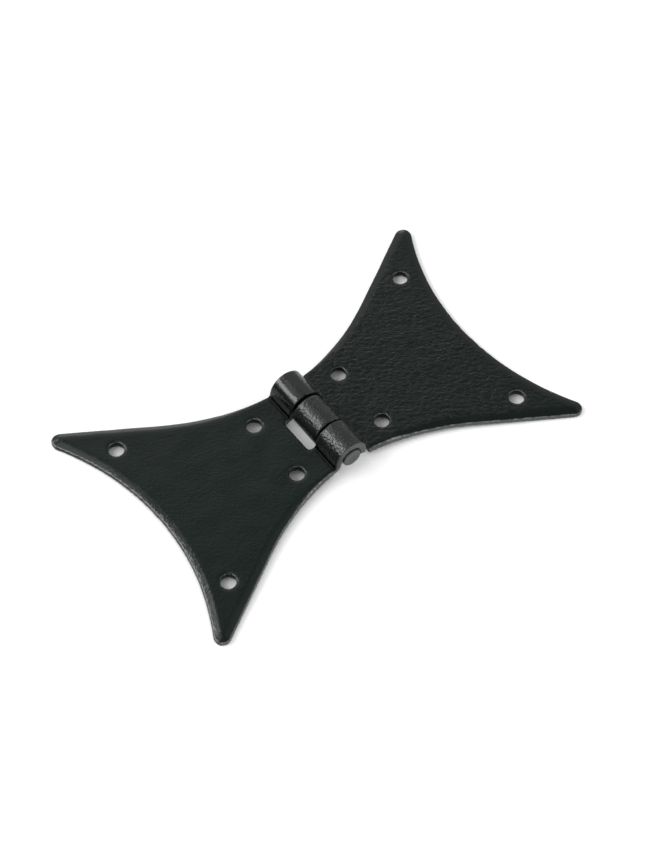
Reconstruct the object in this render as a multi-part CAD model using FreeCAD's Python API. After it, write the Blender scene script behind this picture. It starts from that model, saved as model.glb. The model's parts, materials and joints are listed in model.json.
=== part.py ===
import FreeCAD, Part
import math
import os

# Butterfly hinge of black coated sheet steel. It lies open on its back: the back of both leaves is the
# plane z = 0, the pin runs along Y above the origin, and the leaves flare out to -X and +X.
# A leaf is drawn with "out" measured from the pin and "along" measured parallel to it.

# Sheet and pin
sheet = 2.2                     # thickness of the plate, which is also the wall of every knuckle
pin_diameter = 5.8
pin_height = 3.4                # pin axis above the back of the leaves
pin_proud = 0.4                 # how far each pin end stands out of its knuckle
pin_chamfer = 0.4
held_clearance = 0.01           # radial, where the middle knuckle grips the pin
running_clearance = 0.25        # radial, where the outer knuckles turn loosely on the pin

# Outline of a leaf
leaf_reach = 63.25              # from the pin axis to the tips
tip_half_width = 41.3           # from the middle of the leaf to the outermost point of a tip
tip_round = 0.5                 # radius of a tip on the flat front, inside the bevel
end_dish = 10.1                 # how deep the hollow end curves in between the tips
side_angle = 31.4               # slope of the straight part of a side, towards the tip
neck_half_width = 14.9          # half the narrowest width of the outline
neck_radius = 76.0              # of the hollow curve from the neck to the straight side
bevel_width = 2.0               # beaten-down rim of the front, seen from above
bevel_drop = 0.75               # how far the rim falls below the front

# Screw holes, two near the tips and two near the barrel of each leaf
hole_diameter = 4.3
hole_rim = 0.45                 # rounding of the hole's front edge
tip_hole_back = 13.25           # tip holes, from the tips towards the pin
tip_hole_in = 14.7              # tip holes, from the outermost point of a tip towards the middle
inner_hole_out = 14.8           # inner holes, from the pin
inner_hole_along = 10.0         # inner holes, from the middle of the leaf

# Rolled knuckles
bend_radius = 0.15              # inside of the bend where the plate turns up into the roll
flank_angle = 78.0              # slope of the sheet between that bend and the roll
hook_angle = 25.0               # how far the roll comes down past the level of the pin
middle_length = 10.6            # length of the middle knuckle
side_gap = 0.55                 # between the ends of neighbouring knuckles
notch_margin = 2.4              # between the middle knuckle and the notch behind it
notch_corner = 1.0              # inner corner radius of that notch
shoulder_margin = 0.55          # between an outer knuckle and the right leaf beside it

# Sizes that follow from those above
pin_radius = pin_diameter / 2
held_bore = pin_radius + held_clearance
running_bore = pin_radius + running_clearance
middle_half = middle_length / 2
notch_half = middle_half + side_gap
tip_radius = tip_round + bevel_width
tip_out = leaf_reach - tip_radius
tip_along = tip_half_width - tip_radius
end_radius = (end_dish ** 2 + tip_along ** 2) / (2 * end_dish) - tip_radius
end_center = leaf_reach - end_dish + end_radius
end_angle = math.degrees(math.atan2(tip_along, end_center - tip_out))
tip_hole_out = leaf_reach - tip_hole_back
tip_hole_along = tip_half_width - tip_hole_in
side = math.radians(side_angle)
flank = math.radians(flank_angle)
cutter_margin = sheet           # how far a cutting tool reaches past what it cuts

Vector = FreeCAD.Vector


def arc(center, radius, start, end):
    """First, middle and last point of an arc, its angles in degrees."""
    points = []
    for angle in (start, (start + end) / 2, end):
        turn = math.radians(angle)
        points.append((center[0] + radius * math.cos(turn), center[1] + radius * math.sin(turn)))
    return points


def closed_wire(path, place):
    """Wire of straight lines (two points) and arcs (three points), put into space by place."""
    edges = []
    for points in path:
        corners = [place(*point) for point in points]
        curve = Part.LineSegment(*corners) if len(corners) == 2 else Part.Arc(*corners)
        edges.append(curve.toShape())
    return Part.Wire(edges)


def in_plan(height):
    """Places (out, along) points level at a height."""
    return lambda out, along: Vector(out, along, height)


def in_section(along):
    """Places (out, height) points upright across the pin."""
    return lambda out, height: Vector(out, along, height)


def bend_start(bore):
    """Distance from the pin at which the flat plate turns up into a roll of this bore."""
    roll_to_bend = bore + sheet + bend_radius
    rise = pin_height - sheet - bend_radius
    return (roll_to_bend + rise * math.cos(flank)) / math.sin(flank)


def neck_edge(root):
    """Half width of the outline at a distance from the pin, on its hollow neck curve."""
    tangent_out = tip_out - tip_radius * math.sin(side)
    tangent_along = tip_along + tip_radius * math.cos(side)
    corner = tangent_out - (tangent_along - neck_half_width) / math.tan(side)
    neck_out = corner - neck_radius * math.tan(side / 2)
    touch = (neck_out + neck_radius * math.sin(side),
             neck_half_width + neck_radius * (1 - math.cos(side)))
    half_width = neck_half_width + neck_radius - math.sqrt(neck_radius ** 2 - (root - neck_out) ** 2)
    return half_width, touch


def leaf_outline(root, inset):
    """Plan of a leaf from its root outwards, drawn this far inside its edge.

    The inset grows from nothing at the root, so that the bevelled rim runs out into the knuckles."""
    half_width, touch = neck_edge(root)
    touch = (touch[0] + inset * math.sin(side), touch[1] - inset * math.cos(side))
    chord = (root - touch[0], half_width - touch[1])
    rise = chord[1] * math.cos(side) - chord[0] * math.sin(side)
    radius = (chord[0] ** 2 + chord[1] ** 2) / (2 * rise)
    center = (touch[0] - radius * math.sin(side), touch[1] + radius * math.cos(side))
    root_angle = math.degrees(math.atan2(half_width - center[1], root - center[0]))

    neck = arc(center, radius, root_angle, side_angle - 90)
    tip = arc((tip_out, tip_along), tip_radius - inset, 90 + side_angle, -end_angle)
    upper = [neck, [neck[-1], tip[0]], tip]
    lower = [[(out, -along) for out, along in reversed(points)] for points in reversed(upper)]
    end = arc((end_center, 0), end_radius + inset, 180 - end_angle, 180 + end_angle)
    return upper + [end] + lower + [[lower[-1][-1], neck[0]]]


def hole_cutter(out, along):
    """Round hole through the plate, with a rounded front edge."""
    radius = hole_diameter / 2
    wide = radius + hole_rim
    rim = arc((wide, sheet - hole_rim), hole_rim, 180, 90)
    corners = [(wide, sheet + cutter_margin), (0, sheet + cutter_margin), (0, -cutter_margin),
               (radius, -cutter_margin)]
    path = [rim, [rim[-1], corners[0]]]
    path += [[start, end] for start, end in zip(corners, corners[1:])]
    path.append([corners[-1], rim[0]])
    profile = Part.Face(closed_wire(path, in_section(0)))
    cutter = profile.revolve(Vector(), Vector(0, 0, 1), 360)
    cutter.translate(Vector(out, along, 0))
    return cutter


def flat_leaf(root):
    """Plate of a leaf from its root outwards, with a bevelled front rim and its screw holes."""
    shoulder = sheet - bevel_drop
    rim = closed_wire(leaf_outline(root, 0), in_plan(shoulder))
    front = closed_wire(leaf_outline(root, bevel_width), in_plan(sheet))
    back = Part.Face(closed_wire(leaf_outline(root, 0), in_plan(0)))
    plate = back.extrude(Vector(0, 0, shoulder)).fuse(Part.makeLoft([rim, front], True, True))
    for out, along in ((tip_hole_out, tip_hole_along), (inner_hole_out, inner_hole_along)):
        for mirror in (1, -1):
            plate = plate.cut(hole_cutter(out, mirror * along))
    return plate


def knuckle(bore, start, end):
    """Sheet bent up, rolled over the pin and hooked down beyond it, between two places along the pin."""
    outer = bore + sheet
    root = bend_start(bore)
    bend = (root, sheet + bend_radius)
    pin = (0, pin_height)
    roll_start = 90 - flank_angle
    roll_end = 180 + hook_angle
    under = arc(bend, bend_radius + sheet, 270, 180 + roll_start)
    inside = arc(pin, bore, roll_start, roll_end)
    outside = arc(pin, outer, roll_end, roll_start)
    over = arc(bend, bend_radius, 180 + roll_start, 270)
    curves = [under, inside, outside, over]
    path = []
    for curve, following in zip(curves, curves[1:] + curves[:1]):
        path += [curve, [curve[-1], following[0]]]
    profile = Part.Face(closed_wire(path, in_section(start)))
    return profile.extrude(Vector(0, end - start, 0))


def notch_cutter(root):
    """Clears the plate behind the middle knuckle, with rounded inner corners."""
    reach = held_bore + sheet + notch_margin
    center = (reach - notch_corner, notch_half - notch_corner)
    near = arc(center, notch_corner, 90, 0)
    far = arc((center[0], -center[1]), notch_corner, 0, -90)
    mouth = [(root - cutter_margin, -notch_half), (root - cutter_margin, notch_half)]
    path = [[mouth[1], near[0]], near, [near[-1], far[0]], far, [far[-1], mouth[0]], mouth]
    outline = Part.Face(closed_wire(path, in_plan(-cutter_margin)))
    return outline.extrude(Vector(0, 0, sheet + 2 * cutter_margin))


def shoulder_cutter(root, direction):
    """Cuts the right leaf back beside one of the outer knuckles."""
    start = root - cutter_margin
    reach = running_bore + sheet + shoulder_margin
    length = neck_edge(reach)[0] + cutter_margin - middle_half
    corner = Vector(start, middle_half if direction > 0 else -middle_half - length, -cutter_margin)
    return Part.makeBox(reach - start, length, sheet + 2 * cutter_margin, corner)


def build_left_leaf():
    root = bend_start(running_bore)
    barrel_half = neck_edge(root)[0]
    leaf = flat_leaf(root).cut(notch_cutter(root))
    for start, end in ((-barrel_half, -notch_half), (notch_half, barrel_half)):
        leaf = leaf.fuse(knuckle(running_bore, start, end))
    return leaf.removeSplitter().mirror(Vector(), Vector(1, 0, 0))


def build_right_leaf():
    root = bend_start(held_bore)
    leaf = flat_leaf(root)
    for direction in (1, -1):
        leaf = leaf.cut(shoulder_cutter(root, direction))
    return leaf.fuse(knuckle(held_bore, -middle_half, middle_half)).removeSplitter()


def build_hinge_pin():
    half_length = neck_edge(bend_start(running_bore))[0] + pin_proud
    pin = Part.makeCylinder(pin_radius, 2 * half_length, Vector(0, -half_length, pin_height), Vector(0, 1, 0))
    ends = [edge for edge in pin.Edges if isinstance(edge.Curve, Part.Circle)]
    return pin.makeChamfer(pin_chamfer, ends)


os.makedirs("parts", exist_ok=True)
pieces = {
    "left_leaf": build_left_leaf(),
    "right_leaf": build_right_leaf(),
    "hinge_pin": build_hinge_pin(),
}
for name, shape in pieces.items():
    solid = shape.Solids[0]
    solid.exportStep("parts/" + name + ".step")
    print(name, len(shape.Solids), "solid", round(solid.Volume, 1), "mm3, valid", solid.isValid())
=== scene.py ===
import json
import math

import bpy
from mathutils import Matrix, Vector


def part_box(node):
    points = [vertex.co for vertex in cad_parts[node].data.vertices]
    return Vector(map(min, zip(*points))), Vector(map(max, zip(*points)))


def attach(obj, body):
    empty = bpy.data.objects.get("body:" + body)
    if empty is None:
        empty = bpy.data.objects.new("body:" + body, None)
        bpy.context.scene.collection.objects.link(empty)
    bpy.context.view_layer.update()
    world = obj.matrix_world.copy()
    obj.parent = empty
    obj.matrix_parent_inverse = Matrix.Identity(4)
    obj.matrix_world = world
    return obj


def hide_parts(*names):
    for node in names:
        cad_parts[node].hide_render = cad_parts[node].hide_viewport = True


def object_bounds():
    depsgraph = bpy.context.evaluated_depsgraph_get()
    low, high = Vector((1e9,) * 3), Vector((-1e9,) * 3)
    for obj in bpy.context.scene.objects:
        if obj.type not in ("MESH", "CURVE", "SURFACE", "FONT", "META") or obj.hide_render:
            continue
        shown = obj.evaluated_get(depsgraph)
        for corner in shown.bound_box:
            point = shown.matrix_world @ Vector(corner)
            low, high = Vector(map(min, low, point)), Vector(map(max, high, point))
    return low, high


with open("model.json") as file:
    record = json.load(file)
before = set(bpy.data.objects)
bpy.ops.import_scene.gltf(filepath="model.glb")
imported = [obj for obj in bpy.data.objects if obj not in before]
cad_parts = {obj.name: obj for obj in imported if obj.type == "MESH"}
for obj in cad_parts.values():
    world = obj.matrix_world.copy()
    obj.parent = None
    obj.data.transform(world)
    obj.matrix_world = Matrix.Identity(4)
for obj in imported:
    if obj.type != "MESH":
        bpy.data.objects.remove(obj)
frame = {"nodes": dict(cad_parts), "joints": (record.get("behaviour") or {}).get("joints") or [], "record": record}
cad_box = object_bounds()
mm = 0.001

# Left leaf
# A flared plate of sheet steel with the two outer knuckles rolled from it round the pin.
# It was stamped and its front rim beaten down, which left the edges soft and a little uneven,
# and the whole leaf was then powder coated in a smooth satin black.
pin_axis = Vector(frame["joints"][0]["pos_m"])
pin_low, pin_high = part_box("hinge_pin")
pin_radius = (pin_high.x - pin_low.x) / 2
plate_front = 2.2 * mm                # front of the plate, above its back
barrel_reach = 5.95 * mm              # the barrel stays within this distance of the pin
knuckle_gap = 5.58 * mm               # from the middle of the barrel to the gaps between its knuckles
left_foot = 5.73 * mm                 # from the pin to where the left leaf's rolls rise out of the plate
screw_holes = [(abs(mount["pos_m"][0]), mount["dims"]["spacing_y_mm"] / 2 * mm)
               for mount in frame["record"]["mounts"] if mount["kind"] == "bolt_pattern"]

weld_distance = 0.001 * mm            # corners of the stamped part's faces this close are one point
mesh_fineness = 0.28 * mm


def coated_copy(node, name):
    """New piece from a copy of a stamped part, its faces joined up and evenly divided."""
    bpy.ops.object.select_all(action="DESELECT")
    piece = bpy.data.objects.new(name, frame["nodes"][node].data.copy())
    bpy.context.scene.collection.objects.link(piece)
    bpy.context.view_layer.objects.active = piece
    piece.select_set(True)
    piece.data.materials.clear()
    bpy.ops.object.mode_set(mode="EDIT")
    bpy.ops.mesh.select_all(action="SELECT")
    bpy.ops.mesh.remove_doubles(threshold=weld_distance)
    bpy.ops.object.mode_set(mode="OBJECT")
    fine = piece.modifiers.new("even faces", "REMESH")
    fine.mode = "VOXEL"
    fine.voxel_size = mesh_fineness
    bpy.ops.object.modifier_apply(modifier=fine.name)
    return piece


bore_wall = 0.5 * mm                  # this close to the pin the roll keeps its true bore
back_skin = 0.1 * mm                  # this close to the back the plate stays flat
front_level = 1.4 * mm                # above this the plate's upward faces are its front
front_upward = 0.9                    # how far up a face of the front has to look


def from_pin(place):
    """Distance of a point from the pin's axis."""
    return math.hypot(place.x - pin_axis.x, place.z - pin_axis.z)


def is_free(place, normal):
    """Everything but the bore, which stays true to the pin."""
    return from_pin(place) > pin_radius + bore_wall


def is_front(place, normal):
    """The upward faces of the plate, its beaten rim included."""
    return normal.z > front_upward and place.z > front_level and from_pin(place) > barrel_reach


def is_beaten(place, normal):
    """What the hammer reached: neither the bore nor the flat back."""
    return is_free(place, normal) and place.z > back_skin


def skin_group(piece, name, wanted):
    """Vertex group of the points of the skin that pass a test on their place and normal."""
    group = piece.vertex_groups.new(name=name)
    group.add([v.index for v in piece.data.vertices if wanted(v.co, v.normal)], 1.0, "REPLACE")
    return group.name


def smooth_skin(piece, name, wanted, steps):
    """Evens out the part of the skin that passes a test."""
    smooth = piece.modifiers.new(name, "SMOOTH")
    smooth.iterations = steps
    smooth.vertex_group = skin_group(piece, name, wanted)
    bpy.ops.object.modifier_apply(modifier=smooth.name)


edge_rounding = 8                     # smoothing steps that soften the stamped edges
rim_easing = 18                       # smoothing steps that ease the beaten rim into the front
beaten_size = 7 * mm                  # spacing of the hammer's marks
beaten_depth = 0.12 * mm
crisp_edge = math.radians(50)         # an edge sharper than this shows as a line


def beat_and_round(piece):
    """Rounds the stamped edges, eases the rim and beats shallow, uneven marks into the skin."""
    smooth_skin(piece, "rounded edges", is_free, edge_rounding)
    smooth_skin(piece, "eased rim", is_front, rim_easing)
    marks = bpy.data.textures.new(piece.name + " marks", "CLOUDS")
    marks.noise_scale = beaten_size
    marks.noise_depth = 0
    beaten = piece.modifiers.new("beaten marks", "DISPLACE")
    beaten.texture = marks
    beaten.texture_coords = "LOCAL"
    beaten.strength = beaten_depth
    beaten.mid_level = 1.0            # so that every mark goes inwards
    beaten.vertex_group = skin_group(piece, "beaten", is_beaten)
    bpy.ops.object.modifier_apply(modifier=beaten.name)
    bpy.ops.object.shade_smooth_by_angle(angle=crisp_edge)


def ramp(value, start, end):
    """Grows evenly from 0 to 1 between two values."""
    return min(max((value - start) / (end - start), 0.0), 1.0)


def paint(piece, name, amount):
    """Stores on each point of the skin how strongly an effect shows there."""
    layer = piece.data.attributes.new(name, "FLOAT", "POINT")
    layer.data.foreach_set("value", [amount(v.co, v.normal) for v in piece.data.vertices])


def from_hole(place):
    """Distance of a point from the axis of the nearest screw hole."""
    return min(math.hypot(abs(place.x) - out, abs(place.y) - along) for out, along in screw_holes)


# Each pair below says where an effect begins and where it is full.
roll_from_pin = (5.9 * mm, 5.5 * mm)
roll_height = (2.3 * mm, 2.8 * mm)
crown_height = (4.6 * mm, 6.8 * mm)


def on_roll(place, normal):
    """The rolled knuckles, above the front of the plate."""
    return ramp(from_pin(place), *roll_from_pin) * ramp(place.z, *roll_height)


def crown_painted_light(place, normal):
    """Painted light on the top of the barrel, which takes a lighter, greyer colour than the plates."""
    return on_roll(place, normal) * ramp(place.z, *crown_height)


roll_end_along = (0.8, 0.95)          # how far along the pin a roll's end looks
wall_upward = (0.45, 0.15)            # how far up or down a wall looks
wall_nearward = (0.45, 0.8)           # how far towards the near side it looks
wall_from_hole = (2.8 * mm, 3.4 * mm)


def cut_painted_light(place, normal):
    """Painted light on the near walls of the plate and on the ends of the rolls, standing in for the bright table
    that they mirror.
    """
    if from_pin(place) < barrel_reach:
        return ramp(abs(normal.y), *roll_end_along)
    wall = ramp(abs(normal.z), *wall_upward) * ramp(-normal.y, *wall_nearward)
    return wall * ramp(from_hole(place), *wall_from_hole)


crest_side = Vector((-0.6, -0.8, 0))  # the near left, where the painted highlight is strongest
crest_sideward = (0.25, 0.45)
crest_below = (0.5, 0.62)             # how far up the edge looks, where it meets the wall
crest_above = (0.84, 0.76)            # and where it meets the front
crest_from_pin = (barrel_reach, 8 * mm)


def crest_painted_highlight(place, normal):
    """Painted highlight on the rounded edge between the front and the walls that face the near left."""
    near = ramp(normal.dot(crest_side), *crest_sideward)
    crest = ramp(normal.z, *crest_below) * ramp(normal.z, *crest_above)
    return near * crest * ramp(from_pin(place), *crest_from_pin)


gap_width = (0.6 * mm, 0.3 * mm)
gap_from_pin = (5.9 * mm, 5.6 * mm)
bore_from_hole = (2.45 * mm, 2.2 * mm)
flank_place = (-2.4 * mm, -4.4 * mm)  # left of the pin
foot_height = (1.7 * mm, 1.2 * mm)
foot_upward = (0.7, 0.4)
foot_nearward = (0.8, 0.45)
bore_dark = 0.8
flank_dark = 0.6
foot_dark = 0.8


def crease_painted_shade(place, normal):
    """Painted shade in the corners that light hardly reaches: the gaps between the knuckles, the bores of the
    screw holes, the left flank of the barrel and the foot of the walls."""
    gap = ramp(abs(abs(place.y) - knuckle_gap), *gap_width) * ramp(from_pin(place), *gap_from_pin)
    bore = ramp(from_hole(place), *bore_from_hole)
    flank = on_roll(place, normal) * ramp(place.x, *flank_place)
    wall = ramp(abs(normal.z), *foot_upward) * ramp(-normal.y, *foot_nearward)
    foot = ramp(place.z, *foot_height) * wall
    return max(gap, bore_dark * bore, flank_dark * flank, foot_dark * foot)


def add_node(tree, kind, inputs=None, **settings):
    """Shader node with its settings, and with values or other nodes' outputs on its inputs."""
    made = tree.nodes.new(kind)
    for name, value in settings.items():
        setattr(made, name, value)
    for socket, value in (inputs or {}).items():
        if isinstance(value, bpy.types.NodeSocket):
            tree.links.new(value, made.inputs[socket])
        else:
            made.inputs[socket].default_value = value
    return made


def reckon(tree, operation, *values, **settings):
    """Result of a Math node."""
    made = add_node(tree, "ShaderNodeMath", dict(enumerate(values)), operation=operation, **settings)
    return made.outputs[0]


def remap(tree, value, before, after, **settings):
    """Result of a Map Range node, which takes one pair of values to another."""
    return add_node(tree, "ShaderNodeMapRange", {
        "Value": value, "From Min": before[0], "From Max": before[1],
        "To Min": after[0], "To Max": after[1]}, **settings).outputs[0]


def blend(tree, share, under, over):
    """Result of a Mix node on colours, which are its sockets 6 and 7 and its output 2."""
    return add_node(tree, "ShaderNodeMix", {"Factor": share, 6: under, 7: over}, data_type="RGBA").outputs[2]


wrinkle_turn = math.radians(-37)      # in plan, the way in which the wrinkles are drawn out
wrinkle_stretch = (1.6, 1, 1)         # how much longer they are that way
wrinkle_scale = 950                   # scales of the coat's patterns, in marks per metre
wander_scale = 500
peel_scale = 1700
patch_scale = 160
peel_middle = 0.5                     # value of the orange peel's pattern halfway up
wander_reach = (1.8 * mm, 1.8 * mm, 1.8 * mm)
fold_flank = (0.3, 0.7)               # values of the wrinkle pattern between which a fold rises
fold_height = (-0.5, 0.5)
fold_shade = 0.25                     # painted light and shade: how much lighter the top of a full fold is, and how much darker its valley
patch_range = (0.25, 0.75)
patch_shade = (0.88, 1.12)
patch_dulling = 0.08
highlight_flank = (0.42, 0.56)           # values of the wrinkle pattern between which a wrinkle's crest takes the painted highlight
highlight_share = (0.15, 1)
highlight_grey = (0.15, 0.155, 0.155, 1)
crease_shade = -0.85                  # painted shade: what a full crease takes from the colour and the sheen
cut_dulling = 0.25
coat_relief = 0.1 * mm


def powder_coat_group():
    """Skin of baked powder: leathery wrinkles on the plate and orange peel, with painted light on the barrel's
    top, the near walls and the roll ends, a painted highlight on the near edges and painted shade in creases and
    fold valleys.
    """
    group = bpy.data.node_groups.new("powder coat", "ShaderNodeTree")
    for name, kind in (("Colour", "NodeSocketColor"), ("Crown Light Colour", "NodeSocketColor"),
                       ("Cut Light Colour", "NodeSocketColor"), ("Roughness", "NodeSocketFloat"),
                       ("Wrinkle", "NodeSocketFloat"), ("Peel", "NodeSocketFloat"),
                       ("Roll", "NodeSocketFloat"), ("Cut", "NodeSocketFloat"),
                       ("Crest", "NodeSocketFloat"), ("Crease", "NodeSocketFloat")):
        group.interface.new_socket(name, in_out="INPUT", socket_type=kind)
    for name, kind in (("Colour", "NodeSocketColor"), ("Roughness", "NodeSocketFloat"),
                       ("Lost Light", "NodeSocketFloat"), ("Height", "NodeSocketFloat")):
        group.interface.new_socket(name, in_out="OUTPUT", socket_type=kind)
    given = group.nodes.new("NodeGroupInput").outputs
    place = add_node(group, "ShaderNodeTexCoord").outputs["Object"]

    drawn = add_node(group, "ShaderNodeMapping", {
        "Vector": place, "Rotation": (0, 0, wrinkle_turn), "Scale": wrinkle_stretch},
        vector_type="TEXTURE").outputs[0]
    wander = add_node(group, "ShaderNodeTexNoise", {
        "Vector": drawn, "Scale": wander_scale, "Detail": 2}).outputs["Color"]
    bent = add_node(group, "ShaderNodeVectorMath", {0: wander, 1: wander_reach, 2: drawn},
                    operation="MULTIPLY_ADD").outputs[0]
    wrinkle = add_node(group, "ShaderNodeTexNoise", {
        "Vector": bent, "Scale": wrinkle_scale, "Detail": 2, "Roughness": 0.5}).outputs["Fac"]
    fold = remap(group, wrinkle, fold_flank, fold_height, interpolation_type="SMOOTHSTEP")
    fold = reckon(group, "MULTIPLY", fold, given["Wrinkle"])
    peel = add_node(group, "ShaderNodeTexNoise", {
        "Vector": place, "Scale": peel_scale, "Detail": 1}).outputs["Fac"]
    grain = reckon(group, "SUBTRACT", peel, peel_middle)
    height = reckon(group, "MULTIPLY_ADD", grain, given["Peel"], fold)

    # painted light: the top of the barrel takes a lighter colour
    rolled = blend(group, given["Roll"], given["Colour"], given["Crown Light Colour"])
    # painted light: the near walls and the ends of the rolls take a lighter colour
    cut_lit = blend(group, given["Cut"], rolled, given["Cut Light Colour"])
    # painted highlight: a grey on the rounded near edges, strongest on the crests of the wrinkles
    highlight = reckon(group, "MULTIPLY", remap(group, wrinkle, highlight_flank, highlight_share), given["Crest"])
    highlighted = blend(group, highlight, cut_lit, highlight_grey)

    patches = add_node(group, "ShaderNodeTexNoise", {
        "Vector": place, "Scale": patch_scale, "Detail": 4}).outputs["Fac"]
    # painted light and shade: the tops of the folds are lighter and their valleys darker
    ridge = reckon(group, "MULTIPLY_ADD", fold, fold_shade, 1.0)
    # painted shade: the creases darken the colour and lose their sheen
    open_air = reckon(group, "MULTIPLY_ADD", given["Crease"], crease_shade, ridge)
    open_air = reckon(group, "MAXIMUM", open_air, 0.0)
    shade = reckon(group, "MULTIPLY", remap(group, patches, patch_range, patch_shade), open_air)
    colour = add_node(group, "ShaderNodeVectorMath", {0: highlighted, "Scale": shade}, operation="SCALE").outputs[0]
    dull = reckon(group, "MULTIPLY_ADD", patches, patch_dulling, given["Roughness"])
    dull = reckon(group, "MULTIPLY_ADD", given["Cut"], cut_dulling, dull)
    lost_light = reckon(group, "SUBTRACT", 1.0, open_air, use_clamp=True)
    add_node(group, "NodeGroupOutput", {
        "Colour": colour, "Roughness": dull, "Lost Light": lost_light, "Height": height})
    return group


powder_coat = powder_coat_group()


def coated_steel(name, colour, crown_light_colour, cut_light_colour, roughness):
    """Black powder coat with its own colours and gloss, laid on by what is painted on the piece.

    Metallic takes the sheen away where shade is painted into a crease or the valley of a fold, and shows no bare
    metal."""
    material = bpy.data.materials.new(name)
    material.use_nodes = True
    tree = material.node_tree
    coat = add_node(tree, "ShaderNodeGroup", node_tree=powder_coat)
    for socket, value in (("Colour", (*colour, 1)), ("Crown Light Colour", (*crown_light_colour, 1)),
                          ("Cut Light Colour", (*cut_light_colour, 1)), ("Roughness", roughness)):
        coat.inputs[socket].default_value = value
    for socket in ("Wrinkle", "Peel", "Roll", "Cut", "Crest", "Crease"):
        painted = add_node(tree, "ShaderNodeAttribute", attribute_name=socket.lower())
        tree.links.new(painted.outputs["Fac"], coat.inputs[socket])
    bump = add_node(tree, "ShaderNodeBump", {
        "Strength": 1.0, "Distance": coat_relief, "Height": coat.outputs["Height"]})
    shader = tree.nodes["Principled BSDF"]
    tree.links.new(coat.outputs["Colour"], shader.inputs["Base Color"])
    tree.links.new(coat.outputs["Roughness"], shader.inputs["Roughness"])
    tree.links.new(coat.outputs["Lost Light"], shader.inputs["Metallic"])
    tree.links.new(bump.outputs["Normal"], shader.inputs["Normal"])
    return material


left_wrinkling = 0.1
left_plate_peel = 0.6
near_knuckle_peel = 2.1
far_knuckle_peel = 0.7
foot_split = plate_front + 0.25 * mm  # above this the painted shade at the foot of the rolls runs up the roll
foot_on_roll = (2.8 * mm, 0.3 * mm)
foot_on_plate = (0.9 * mm, 0.3 * mm)


def left_peel(place, normal):
    """Fine grain on the plate and the far knuckle, coarse orange peel on the near one."""
    knuckle = near_knuckle_peel if place.y < pin_axis.y else far_knuckle_peel
    return left_plate_peel + (knuckle - left_plate_peel) * on_roll(place, normal)


def left_crease_painted_shade(place, normal):
    """Painted shade in the corners of the leaf, the foot of its rolls included."""
    reach = foot_on_roll if place.z > foot_split else foot_on_plate
    foot = ramp(math.hypot(place.x + left_foot, place.z - plate_front), *reach)
    return max(crease_painted_shade(place, normal), foot)


left_leaf = coated_copy("left_leaf", "left_leaf_coated")
beat_and_round(left_leaf)
# roll carries painted light on the barrel's top, cut painted light on the near walls and roll ends, crest a
# painted highlight on the near edges, crease painted shade
for name, amount in (("wrinkle", lambda place, normal: left_wrinkling), ("peel", left_peel),
                     ("roll", crown_painted_light), ("cut", cut_painted_light), ("crest", crest_painted_highlight), ("crease", left_crease_painted_shade)):
    paint(left_leaf, name, amount)
left_leaf.data.materials.append(coated_steel(
    "smooth black coat", colour=(0.0032, 0.0080, 0.0066), crown_light_colour=(0.0160, 0.0195, 0.0183),
    cut_light_colour=(0.030, 0.034, 0.033), roughness=0.12))
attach(left_leaf, "left_leaf")
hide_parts("left_leaf")

# Hinge pin
# A plain round steel pin through the three knuckles, gripped by the middle one.
# Its ends are dressed off just proud of the barrel and coated over with the leaves.
pin_length = pin_high.y - pin_low.y
pin_sides = 72
end_upright = 0.9                     # how far along the pin its end faces look
end_round = 0.45 * mm
end_dimple = 0.18 * mm
dimple_rim = 1.7 * mm                 # flat of the end, from its edge to the dimple
dimple_slope = 0.5 * mm
rim_steps = 4
rim_angle = math.radians(40)
pin_peel = 0.5
# painted light on the pin's end faces, which take a lighter colour
end_painted_light = (0.3, 0.8)
pin_black = (0.012, 0.014, 0.014)

bpy.ops.object.select_all(action="DESELECT")
bpy.ops.mesh.primitive_cylinder_add(
    vertices=pin_sides, radius=pin_radius, depth=pin_length, end_fill_type="NGON",
    location=(pin_low + pin_high) / 2, rotation=(math.pi / 2, 0, 0))
hinge_pin = bpy.context.object
hinge_pin.name = "hinge_pin_coated"
bpy.ops.object.transform_apply(location=True, rotation=True, scale=True)


def select_faces(piece, wanted):
    """In edit mode, selects the faces that pass a test on their centre and normal."""
    bpy.ops.object.mode_set(mode="EDIT")
    bpy.ops.mesh.select_mode(type="FACE")
    bpy.ops.mesh.select_all(action="DESELECT")
    bpy.ops.object.mode_set(mode="OBJECT")
    for face in piece.data.polygons:
        face.select = wanted(face.center, face.normal)
    bpy.ops.object.mode_set(mode="EDIT")


for end in (-1, 1):
    select_faces(hinge_pin, lambda center, normal: normal.y * end > end_upright)
    bpy.ops.mesh.inset(thickness=end_round)
    bpy.ops.mesh.inset(thickness=dimple_rim - end_round)
    bpy.ops.mesh.inset(thickness=dimple_slope)
    bpy.ops.transform.translate(value=(0, -end * end_dimple, 0))
    bpy.ops.object.mode_set(mode="OBJECT")

rims = hinge_pin.modifiers.new("rounded rims", "BEVEL")
rims.width = end_round
rims.segments = rim_steps
rims.limit_method = "ANGLE"
rims.angle_limit = rim_angle
bpy.ops.object.modifier_apply(modifier=rims.name)
bpy.ops.object.shade_smooth_by_angle(angle=rim_angle)
# the pin's ends carry painted light, a lighter colour
for name, amount in (("peel", lambda place, normal: pin_peel),
                     ("cut", lambda place, normal: ramp(abs(normal.y), *end_painted_light))):
    paint(hinge_pin, name, amount)
hinge_pin.data.materials.append(coated_steel(
    "coat over the pin", colour=pin_black, crown_light_colour=pin_black,
    cut_light_colour=(0.04, 0.042, 0.042), roughness=0.25))
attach(hinge_pin, "right_leaf")
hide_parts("hinge_pin")

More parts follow.
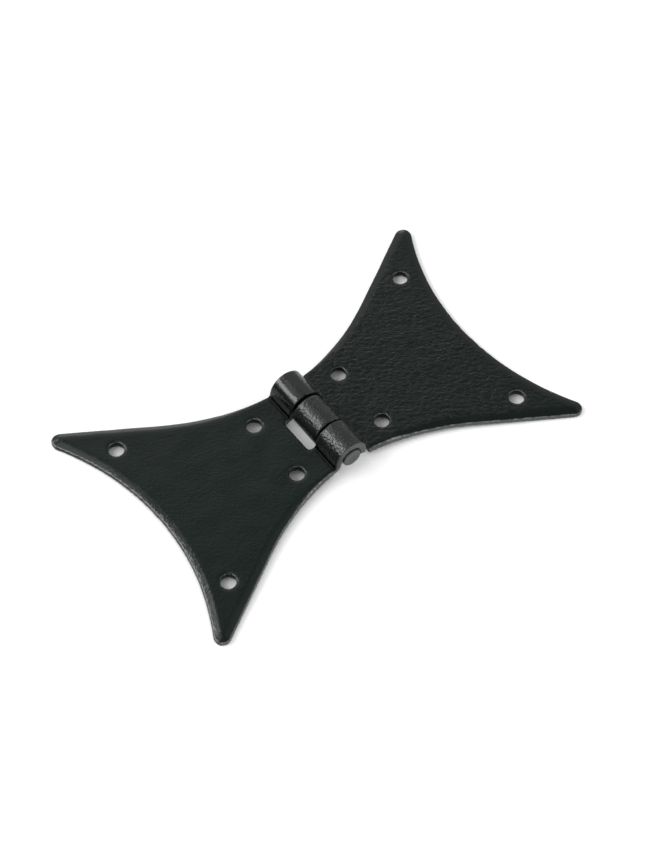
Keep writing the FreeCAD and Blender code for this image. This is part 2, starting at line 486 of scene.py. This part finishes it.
# Right leaf
# The second plate, stamped and beaten like the first, with the middle knuckle rolled from it
# and its root cut back on both sides to clear the outer knuckles.
# Its coat went on thicker and drew up into soft leathery wrinkles as it baked.
right_wrinkling = 0.88
wrinkle_upward = (0.965, 0.995)       # how far up the wrinkled flat looks
wrinkle_place = (64 * mm, 48 * mm)    # from the tips towards the pin
right_plate_peel = 0.5
middle_knuckle_peel = 2.1


def right_wrinkle(place, normal):
    """Wrinkles on the flat of the plate, smoothed away on its rim and towards the tips."""
    flat = ramp(normal.z, *wrinkle_upward) * (1 - on_roll(place, normal))
    return right_wrinkling * flat * ramp(place.x, *wrinkle_place)


def right_peel(place, normal):
    """Fine grain on the plate and coarse orange peel on the middle knuckle."""
    return right_plate_peel + (middle_knuckle_peel - right_plate_peel) * on_roll(place, normal)


right_leaf = coated_copy("right_leaf", "right_leaf_coated")
beat_and_round(right_leaf)
# roll carries painted light on the barrel's top, cut painted light on the near walls and roll ends, crest a
# painted highlight on the near edges, crease painted shade
for name, amount in (("wrinkle", right_wrinkle), ("peel", right_peel),
                     ("roll", crown_painted_light), ("cut", cut_painted_light), ("crest", crest_painted_highlight), ("crease", crease_painted_shade)):
    paint(right_leaf, name, amount)
right_leaf.data.materials.append(coated_steel(
    "wrinkled black coat", colour=(0.0024, 0.0060, 0.0050), crown_light_colour=(0.0160, 0.0195, 0.0183),
    cut_light_colour=(0.03, 0.034, 0.033), roughness=0.14))
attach(right_leaf, "right_leaf")
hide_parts("right_leaf")

# Table
# A plain white table, on which the hinge lies flat with its front up.
# It dips under the barrel, as if the barrel's round back held the leaves up a little, and a painted shade greys it
# there;
# where it lies open a faint glow lifts it to full white, and a painted shade holds the glow back where the hinge
# shelters it.
table_size = 6.0
table_cuts = 3
table_gap = 0.02 * mm                 # between the back of the hinge and the table
table_dip = 1.95 * mm
dip_reach = 62 * mm                   # from the pin to where the table is level again
table_white = 0.88
# painted shade: the table's colour greys under the barrel, to half its white at the middle
barrel_painted_shade = 0.5 * table_white
table_roughness = 0.7
shade_middle = (-3 * mm, -1 * mm, 0)
shade_reach = (4 * mm, 19 * mm)       # from grey to white, measured from that point
glow_strength = 0.25
glow_shelter = 4 * mm                 # how far away the hinge still keeps the glow off
glow_open = (0.4, 0.65)               # how open the table has to lie, from no glow to all of it
full_white = (1, 1, 1, 1)

bpy.ops.object.select_all(action="DESELECT")
bpy.ops.mesh.primitive_plane_add(size=table_size, location=(0, 0, cad_box[0].z - table_gap))
table = bpy.context.object
table.name = "table"
bpy.ops.object.transform_apply(location=True, rotation=True, scale=True)
bpy.ops.object.mode_set(mode="EDIT")
bpy.ops.mesh.subdivide(number_cuts=table_cuts)
bpy.ops.object.mode_set(mode="OBJECT")
for vertex in table.data.vertices:
    column = round(vertex.co.x * (table_cuts + 1) / table_size)
    row = round(vertex.co.y * (table_cuts + 1) / table_size)
    if abs(column) == 1:
        vertex.co.x = column * dip_reach
    elif column == 0 and row == 0:
        vertex.co.z -= table_dip

white = bpy.data.materials.new("white table")
white.use_nodes = True
tree = white.node_tree
surface = tree.nodes["Principled BSDF"]
place = add_node(tree, "ShaderNodeTexCoord").outputs["Object"]
# painted shade under the barrel, in the table's colour
from_barrel = add_node(tree, "ShaderNodeVectorMath", {0: place, 1: shade_middle},
                       operation="DISTANCE").outputs["Value"]
shade = remap(tree, from_barrel, shade_reach, (barrel_painted_shade, table_white))
tree.links.new(shade, surface.inputs["Base Color"])
surface.inputs["Roughness"].default_value = table_roughness
rays = add_node(tree, "ShaderNodeLightPath").outputs
seen = rays["Is Camera Ray"]
for ray in ("Is Glossy Ray", "Is Transmission Ray"):
    seen = reckon(tree, "MAXIMUM", seen, rays[ray])
# painted shade: the glow is held back where the hinge shelters the table, in the holes, the slot and beside the
# edges
open_sky = add_node(tree, "ShaderNodeAmbientOcclusion", {"Distance": glow_shelter}, samples=8).outputs["AO"]
glow = reckon(tree, "MULTIPLY", seen, remap(tree, open_sky, glow_open, (0, glow_strength)))
surface.inputs["Emission Color"].default_value = full_white
tree.links.new(glow, surface.inputs["Emission Strength"])
table.data.materials.append(white)

# Light
# One large soft lamp from the back left, in a studio whose dim walls brighten towards the back.
# Soft patches of light stand where the glossy edges of the leaves mirror them.
# X, Y and Z are those of the direction in which a wall or a patch is seen from the hinge.
sky_tilt = -0.5                       # the higher, the dimmer the back wall is
back_turn = (0.4, 0.6)                # X from which the back wall is even, towards the right
back_gain = (2.2, 0)                  # how fast it brightens towards the back, left and right of that
back_level = (0.26, 0.42)
least_turn = (0.36, 0.5)
back_least = (0.18, 0.36)
back_most = 0.62
left_turn = (-0.75, -0.3)             # X from which the light falls off to the left wall
left_share = (0.15, 1)
lamp_direction = Vector((-0.617, 0.449, 0.646)).normalized()
lamp_distance = 2.0
lamp_width = 0.82
lamp_length = 2.1
lamp_power = 34

room = bpy.data.worlds.new("studio")
bpy.context.scene.world = room
room.use_nodes = True
tree = room.node_tree
direction = add_node(tree, "ShaderNodeTexCoord").outputs["Generated"]
toward = add_node(tree, "ShaderNodeSeparateXYZ", {0: direction}).outputs
slope = reckon(tree, "MULTIPLY_ADD", toward["Z"], sky_tilt, toward["Y"])
gain = remap(tree, toward["X"], back_turn, back_gain)
level = remap(tree, toward["X"], back_turn, back_level)
behind = reckon(tree, "MULTIPLY_ADD", slope, gain, level)
least = remap(tree, toward["X"], least_turn, back_least)
behind = add_node(tree, "ShaderNodeClamp", {"Value": behind, "Min": least, "Max": back_most}).outputs[0]
beside = remap(tree, toward["X"], left_turn, left_share)


def light_patch(strength, *bounds):
    """Soft-edged patch of light: along each axis of the direction it grows from one value to another."""
    patch = strength
    for axis, start, end in bounds:
        inside = remap(tree, toward[axis], (start, end), (0, 1), interpolation_type="SMOOTHSTEP")
        patch = reckon(tree, "MULTIPLY", patch, inside)
    return patch


near_patch = light_patch(             # low on the near side, for the near walls and their rounded edges
    1.9, ("Y", -0.1, -0.5), ("Z", 0.8, 0.5))
high_patch = light_patch(             # overhead, for the near half of the left leaf's hollow end
    1.2, ("X", -0.5, -0.4), ("X", 0.12, -0.05), ("Y", 0.0, 0.1), ("Y", 0.42, 0.32), ("Z", 0.5, 0.6))
back_patch = light_patch(             # high at the back, for the far half of that end
    2.8, ("X", -0.3, -0.12), ("X", 0.1, -0.03), ("Y", 0.52, 0.6), ("Y", 0.82, 0.74), ("Z", 0.3, 0.5))
far_patch = light_patch(              # low at the back right, for the far bevel of the left leaf
    0.85, ("X", 0.2, 0.42), ("X", 0.72, 0.6), ("Y", 0.6, 0.75), ("Z", 0.5, 0.36))
light = reckon(tree, "MULTIPLY", behind, beside)
for patch in (near_patch, high_patch, back_patch, far_patch):
    light = reckon(tree, "ADD", light, patch)
tree.links.new(light, tree.nodes["Background"].inputs["Strength"])
tree.nodes["Background"].inputs["Color"].default_value = full_white

lamp = bpy.data.lights.new("soft lamp", "AREA")
lamp.shape = "RECTANGLE"
lamp.size = lamp_width
lamp.size_y = lamp_length
lamp.energy = lamp_power
lamp_object = bpy.data.objects.new("soft lamp", lamp)
lamp_object.location = lamp_direction * lamp_distance
lamp_side = Vector((0, 1, 0)).cross(lamp_direction).normalized()
lamp_turn = Matrix((lamp_side, lamp_direction.cross(lamp_side), lamp_direction)).transposed()
lamp_object.rotation_euler = lamp_turn.to_euler()
bpy.context.scene.collection.objects.link(lamp_object)

# Camera
# It looks down on the hinge from the near left, over the near end of the barrel, with a long lens.
# Its place and lens were solved from the screw holes and the outline in the photograph.
azimuth = math.radians(-37.05)
elevation = math.radians(55.82)
camera_distance = 665.0 * mm
aim_right = 1.989 * mm                # from the origin to the middle of the picture
aim_up = -1.961 * mm
focal_pixels = 2373
image_height = 868                    # in pixels
sensor_size = 36
nearest_view = 10 * mm
right = Vector((math.cos(azimuth), math.sin(azimuth), 0))
back = Vector((math.sin(azimuth) * math.cos(elevation), -math.cos(azimuth) * math.cos(elevation),
               math.sin(elevation)))
up = back.cross(right)
camera_data = bpy.data.cameras.new("camera")
camera_data.sensor_width = sensor_size
camera_data.lens = sensor_size * focal_pixels / image_height
camera_data.clip_start = nearest_view
camera = bpy.data.objects.new("camera", camera_data)
camera.location = right * aim_right + up * aim_up + back * camera_distance
camera.rotation_euler = (math.pi / 2 - elevation, 0, azimuth)
bpy.context.scene.collection.objects.link(camera)
bpy.context.scene.camera = camera
bpy.context.scene.view_settings.view_transform = "Standard"
